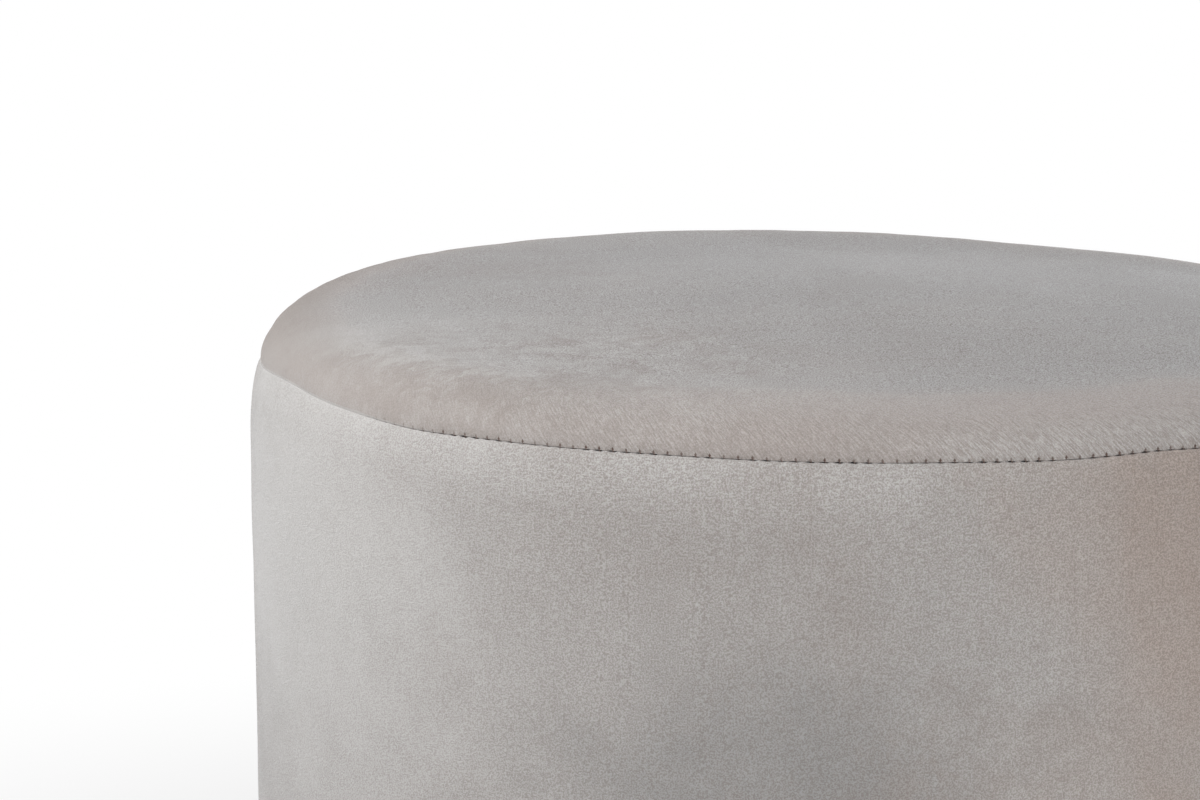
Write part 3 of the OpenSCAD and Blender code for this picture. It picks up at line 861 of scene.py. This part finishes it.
def make_side_padding(shape, outline, material):
    """The foam sheet round the sides: a loop of section and wall, carried to where its cut ends meet at the back."""
    slit = outline.total * 0.75
    along = slit + np.linspace(0.4 * MM, outline.total - 0.4 * MM, 500)
    outer = side_section(shape, shape.cloth + SKIN_GAP)
    outer = outer[outer[:, 0] > SHEET_BACK]
    heights = np.clip(outer[:, 1], foot_of("side_foam"), top_of("side_foam"))
    inner = np.stack([np.full(len(outer), SHEET_BACK), heights], -1)
    points, normals = carried(outline, along, outer)
    calm = ease(points[..., 2], 20 * MM, 60 * MM) * (1 - ease(points[..., 2], 0.35, 0.395))
    points = points + normals * (np.minimum(side_unevenness(points), 0.3 * MM) * calm)[..., None]
    points -= normals * (1.8 * MM * near_end(outline, along)[:, None] * ease(points[..., 2], 0.31, 0.36))[..., None]
    back, _ = carried(outline, along, inner)
    loop = np.concatenate([points, back[:, ::-1], points[:, :1]], 1)
    sunk = np.minimum(seam_lift(outline, along), 0)[:, None]
    loop[..., 2] += sunk * ease(loop[..., 2], *LIFT_ON_SIDE)
    columns, rows = loop.shape[:2]
    n = len(outer)
    j = np.arange(n - 1)
    cap = np.stack([j, j + 1, 2 * n - 2 - j, 2 * n - 1 - j], -1)
    faces = np.concatenate([grid_faces(columns, rows, False), cap, cap[:, ::-1] + (columns - 1) * rows])
    piece = make_piece("side_padding", loop.reshape(-1, 3), faces, material, None, ["side_foam"])


def make_dust_cloth(shape, outline, material):
    """The black cloth under the base: flat, with its edge folded up inside, and sagging a little between staples."""
    along = stations(outline, shape, 2)
    low, high = foot_of("dust_cover"), top_of("dust_cover")
    edge = -14 * MM
    hem = 12 * MM
    fold = edge - 0.3 * MM
    section = np.concatenate(
        [
            [[edge - 16 * MM, low]],
            straight((edge - 16 * MM, low), (fold, low), 8),
            [[edge, low + 0.28 * MM], [fold, high]],
            straight((fold, high), (edge - hem, high), 2),
        ]
    )
    points, _ = carried(outline, along, section)
    shares = np.linspace(1, 0, 22)[:-1]
    middle = inner_rings(points[:, 0, :2], shares, low)
    sag = 0.25 * MM * (1 + ripples(middle[..., :2], 0.05, 0.2, 71))
    middle[..., 2] -= np.clip(sag, 0, 0.5 * MM) * ease(shares, 0, 0.2)[None, :]
    rings = np.concatenate([middle, points], 1)
    piece = grid_piece("dust_cloth", rings, material, True, None, ["dust_cover"])
    thicken(piece, 0.22 * MM)


# Operators


class PoufStep(bpy.types.Operator):
    """Base of the steps."""

    bl_options = {"REGISTER", "UNDO"}

    @property
    def shape(self):
        """The scene's sizes."""
        return bpy.context.scene.pouf_shape

    @property
    def colours(self):
        """The scene's colours."""
        return bpy.context.scene.pouf_colours


def velvet_material():
    """The velvet, made once."""
    made = bpy.data.materials.get("velvet_cloth")
    if made is None:
        shape = bpy.context.scene.pouf_shape
        made = velvet(bpy.context.scene.pouf_colours, shape, Outline(shape).total)
        made.name = "velvet_cloth"
    return made


class POUF_OT_top_panel(PoufStep):
    """Make the sewn velvet top with its rolled edge"""

    bl_idname = "pouf.top_panel"
    bl_label = "Top panel"

    def execute(self, context):
        make_top(self.shape, Outline(self.shape), velvet_material())
        return {"FINISHED"}


class POUF_OT_side_panels(PoufStep):
    """Make the front and back velvet side panels"""

    bl_idname = "pouf.side_panels"
    bl_label = "Side panels"

    def execute(self, context):
        outline = Outline(self.shape)
        make_side("side_panel_front", "side_cover_front", 0, self.shape, outline, velvet_material())
        make_side("side_panel_back", "side_cover_back", outline.total / 2, self.shape, outline, velvet_material())
        return {"FINISHED"}


class POUF_OT_stitches(PoufStep):
    """Make the thread in the seams"""

    bl_idname = "pouf.stitches"
    bl_label = "Stitches"

    def execute(self, context):
        g = Graph("thread")
        twist = g.noise(g.place(), 4000, 1)
        colours = self.colours
        material = g.coat(twist.clamped(0.3, 0.7), colours.depth, colours.thread, 0.75, twist, 0.05 * MM, 0.5)
        make_stitches(self.shape, Outline(self.shape), material)
        return {"FINISHED"}


class POUF_OT_padding(PoufStep):
    """Make the wadding, the foam block and the foam round the sides"""

    bl_idname = "pouf.padding"
    bl_label = "Padding"

    def execute(self, context):
        outline = Outline(self.shape)
        g = Graph("wadding")
        fluff = g.noise(g.place(), 220, 6, 0.7, 0.5)
        share = fluff.clamped(0.3, 0.7)
        low, high = (0.74, 0.74, 0.72), (0.88, 0.88, 0.86)
        wadding = g.coat(share, low, high, 0.95, fluff, 0.8 * MM, 0.7, Sheen_Weight=0.3)
        g = Graph("foam")
        cells = g.add("TexVoronoi", {"feature": "F1"}, {"Vector": g.place(), "Scale": 900}, "Distance")
        share = cells.clamped(0.1, 0.8) * 0.5 + g.noise(g.place(), 12, 3) * 0.2
        foam = g.coat(share, (0.86, 0.76, 0.42), (0.62, 0.50, 0.22), 0.9, 1 - cells, 0.4 * MM, 0.6)
        make_wadding(self.shape, outline, wadding)
        make_foam_block(self.shape, outline, foam)
        make_side_padding(self.shape, outline, foam)
        return {"FINISHED"}


class POUF_OT_dust_cloth(PoufStep):
    """Make the black cloth under the base"""

    bl_idname = "pouf.dust_cloth"
    bl_label = "Dust cloth"

    def execute(self, context):
        g = Graph("dust_cloth")
        where = g.place(turn=(0, 0, math.pi / 4))
        x, y = [(g.axis(where, name) * 520).math("SINE") for name in "XY"]
        bonds = (x * y).clamped(0.25, 0.8)
        fibres = g.noise(g.place(), 700, 4, 0.7, 2.0)
        shade = g.mix(fibres.clamped(0.35, 0.7), (0.012, 0.012, 0.013), (0.035, 0.035, 0.037))
        height = fibres * 0.6 - bonds
        material = g.coat(bonds * 0.6, shade, (0.055, 0.055, 0.058), 0.85 - bonds * 0.3, height, 0.12 * MM, 0.8)
        make_dust_cloth(self.shape, Outline(self.shape), material)
        return {"FINISHED"}


def dress(nodes, material):
    """Gives CAD nodes a finish, without touching their meshes."""
    for node in nodes:
        mesh = NODES[node].data
        mesh.materials.clear()
        mesh.materials.append(material)


class POUF_OT_woodwork(PoufStep):
    """Give the boards, the posts and the bent walls their finishes"""

    bl_idname = "pouf.woodwork"
    bl_label = "Woodwork"

    def execute(self, context):
        g = Graph("particle_board")
        chips = g.add("TexVoronoi", {}, {"Vector": g.place((1, 1, 1.6)), "Scale": 320}, "Color")
        tone = g.add("SeparateColor", {}, {"Color": chips})
        dust = g.noise(g.place(), 90, 5, 0.7)
        shade = g.mix(tone, (0.43, 0.27, 0.13), (0.72, 0.53, 0.31))
        share = dust.clamped(0.3, 0.75) * 0.4
        board = g.coat(share, shade, (0.62, 0.45, 0.26), 0.8, tone * 0.5 + dust, 0.25 * MM, 0.6)
        g = Graph("pine")
        grain = g.noise(g.place((1, 1, 0.045)), 260, 4, 0.6, 0.4)
        rings = g.noise(g.place((1, 1, 0.03)), 70, 2, 0.5, 0.3)
        shade = g.mix(rings.clamped(0.4, 0.6), (0.74, 0.53, 0.29), (0.60, 0.37, 0.17))
        pine = g.coat(grain.clamped(0.45, 0.8) * 0.5, shade, (0.45, 0.25, 0.10), 0.6, grain, 0.12 * MM, 0.5)
        g = Graph("fibreboard")
        felt = g.noise(g.place(), 500, 5, 0.7)
        share = felt.clamped(0.3, 0.7) * 0.5 + g.noise(g.place(), 14, 3) * 0.3
        wall = g.coat(share, (0.17, 0.10, 0.055), (0.30, 0.19, 0.11), 0.55, felt, 0.08 * MM, 0.5)
        dress(["seat_board", "middle_former", "base_board"], board)
        dress([n for n in NODES if n.startswith("post_")], pine)
        dress(["wall_front", "wall_back"], wall)
        return {"FINISHED"}


class POUF_OT_hardware(PoufStep):
    """Give the glides, the screws and the staples their finishes"""

    bl_idname = "pouf.hardware"
    bl_label = "Hardware"

    def execute(self, context):
        g = Graph("zinc")
        blotch = g.noise(g.place(), 450, 4, 0.6)
        share, low, high = blotch.clamped(0.3, 0.7), (0.56, 0.57, 0.60), (0.74, 0.74, 0.74)
        zinc = g.coat(share, low, high, 0.26 + blotch * 0.2, blotch, 0.02 * MM, 0.4, Metallic=1.0)
        g = Graph("glide_plastic")
        grit = g.noise(g.place(), 1800, 3)
        wear = g.noise(g.place(), 160, 4, 0.7).clamped(0.55, 0.72)
        low = 1 - g.axis(g.place(), "Z").clamped(0.1 * MM, 0.8 * MM)
        dark, pale = (0.022, 0.022, 0.023), (0.075, 0.075, 0.077)
        glide = g.coat(wear * low * 0.5, dark, pale, 0.42 + grit * 0.15, grit, 0.04 * MM, 0.6)
        dress(["frame_screws", "glide_screws", "dust_cover_staples"], zinc)
        dress([n for n in NODES if n.startswith("glide_") and n != "glide_screws"], glide)
        return {"FINISHED"}


# Lamps round the pouf, as name, place, diameter and power, and the point that they are aimed at
LAMPS = [
    ("left", (-2.6, 0.2, 1.3), 1.8, 30),
    ("over_left", (-1.1, -0.7, 1.7), 0.9, 27),
    ("low_right", (1.6, -2.4, 0.6), 1.2, 50),
    ("back", (0.5, 3.0, 0.4), 0.8, 50),
    ("right_back", (2.7, 1.3, 0.4), 0.8, 28),
    ("below", (0, 0, -0.9), 0.8, 4),
]
LAMP_AIM = Vector((0, 0, 0.3))
WORLD_LIGHT = 0.2
FLOOR_REACH = 30.0
# The camera as fitted to the photograph: place, degrees down from level, degrees turned left, and focal length
CAMERA_PLACE = (29.3 * MM, -1179.0 * MM, 641.4 * MM)
CAMERA_DOWN = 12.16
CAMERA_LEFT = 14.92
FOCAL_LENGTH = 89.7


class POUF_OT_stage(PoufStep):
    """Make the floor, the lamps, the world and the camera"""

    bl_idname = "pouf.stage"
    bl_label = "Stage"

    def execute(self, context):
        scene = context.scene
        scene.view_settings.view_transform = "Standard"

        # A floor that takes shadows near the pouf, turns white further out, and is clear from below
        r = FLOOR_REACH
        mesh = bpy.data.meshes.new("floor")
        mesh.from_pydata([(-r, -r, 0), (r, -r, 0), (r, r, 0), (-r, r, 0)], [], [(0, 1, 2, 3)])
        floor = bpy.data.objects.new("floor", mesh)
        scene.collection.objects.link(floor)
        g = Graph("studio_floor")
        far = g.add("VectorMath", {"operation": "LENGTH"}, {0: g.place((1.2, 1.6, 1))}, "Value")
        paper = g.add("BsdfDiffuse", {}, {"Color": self.colours.floor})
        glow = g.add("Emission", {}, {"Color": (1, 1, 1), "Strength": 1.0})
        above = g.add("MixShader", {}, {0: far.clamped(0.7, 1.5) * g.seen_directly(), 1: paper, 2: glow})
        clear = g.add("BsdfTransparent", {}, {"Color": (1, 1, 1)})
        under = g.add("NewGeometry", output="Backfacing")
        shadow = g.add("LightPath", output="Is Shadow Ray")
        floor.data.materials.append(
            g.end_in(g.add("MixShader", {}, {0: under.math("MAXIMUM", shadow), 1: above, 2: clear}))
        )

        for name, at, wide, power in LAMPS:
            lamp = bpy.data.lights.new(name, "AREA")
            lamp.shape, lamp.size, lamp.energy = "DISK", wide, power
            holder = bpy.data.objects.new(name, lamp)
            holder.location = at
            holder.rotation_euler = (LAMP_AIM - Vector(at)).to_track_quat("-Z", "Y").to_euler()
            scene.collection.objects.link(holder)

        # A world that is white where it is seen and dim where it lights
        g = Graph("studio", "World")
        light, white = [
            g.add("Background", {}, {"Color": (1, 1, 1), "Strength": strength}) for strength in (WORLD_LIGHT, 1)
        ]
        scene.world = g.end_in(g.add("MixShader", {}, {0: g.seen_directly(), 1: light, 2: white}))

        lens = bpy.data.cameras.new("camera")
        lens.sensor_width, lens.lens = 36, FOCAL_LENGTH
        lens.clip_start, lens.clip_end = 0.01, 100
        camera = bpy.data.objects.new("camera", lens)
        camera.location = CAMERA_PLACE
        camera.rotation_euler = (math.radians(90 - CAMERA_DOWN), 0, math.radians(CAMERA_LEFT))
        scene.collection.objects.link(camera)
        scene.camera = camera
        return {"FINISHED"}


STEPS = [
    POUF_OT_stage,
    POUF_OT_top_panel,
    POUF_OT_side_panels,
    POUF_OT_stitches,
    POUF_OT_padding,
    POUF_OT_dust_cloth,
    POUF_OT_woodwork,
    POUF_OT_hardware,
]


class POUF_PT_steps(bpy.types.Panel):
    """The steps and their sizes in the 3D view's sidebar"""

    bl_idname = "POUF_PT_steps"
    bl_label = "Pouf"
    bl_space_type = "VIEW_3D"
    bl_region_type = "UI"
    bl_category = "Pouf"

    def draw(self, context):
        for group in (context.scene.pouf_shape, context.scene.pouf_colours):
            for name in group.__annotations__:
                self.layout.prop(group, name)
        for step in STEPS:
            self.layout.operator(step.bl_idname)


CLASSES = [PoufShape, PoufColours, *STEPS, POUF_PT_steps]


def register():
    """Adds the classes, and the sizes and colours to the scene."""
    for made in CLASSES:
        bpy.utils.register_class(made)
    bpy.types.Scene.pouf_shape = bpy.props.PointerProperty(type=PoufShape)
    bpy.types.Scene.pouf_colours = bpy.props.PointerProperty(type=PoufColours)


def unregister():
    """Takes away what register added."""
    del bpy.types.Scene.pouf_shape
    del bpy.types.Scene.pouf_colours
    for made in reversed(CLASSES):
        bpy.utils.unregister_class(made)


def main():
    register()
    bpy.ops.pouf.stage()
    bpy.ops.pouf.top_panel()
    bpy.ops.pouf.side_panels()
    bpy.ops.pouf.stitches()
    bpy.ops.pouf.padding()
    bpy.ops.pouf.dust_cloth()
    bpy.ops.pouf.woodwork()
    bpy.ops.pouf.hardware()


if __name__ == "__main__":
    main()
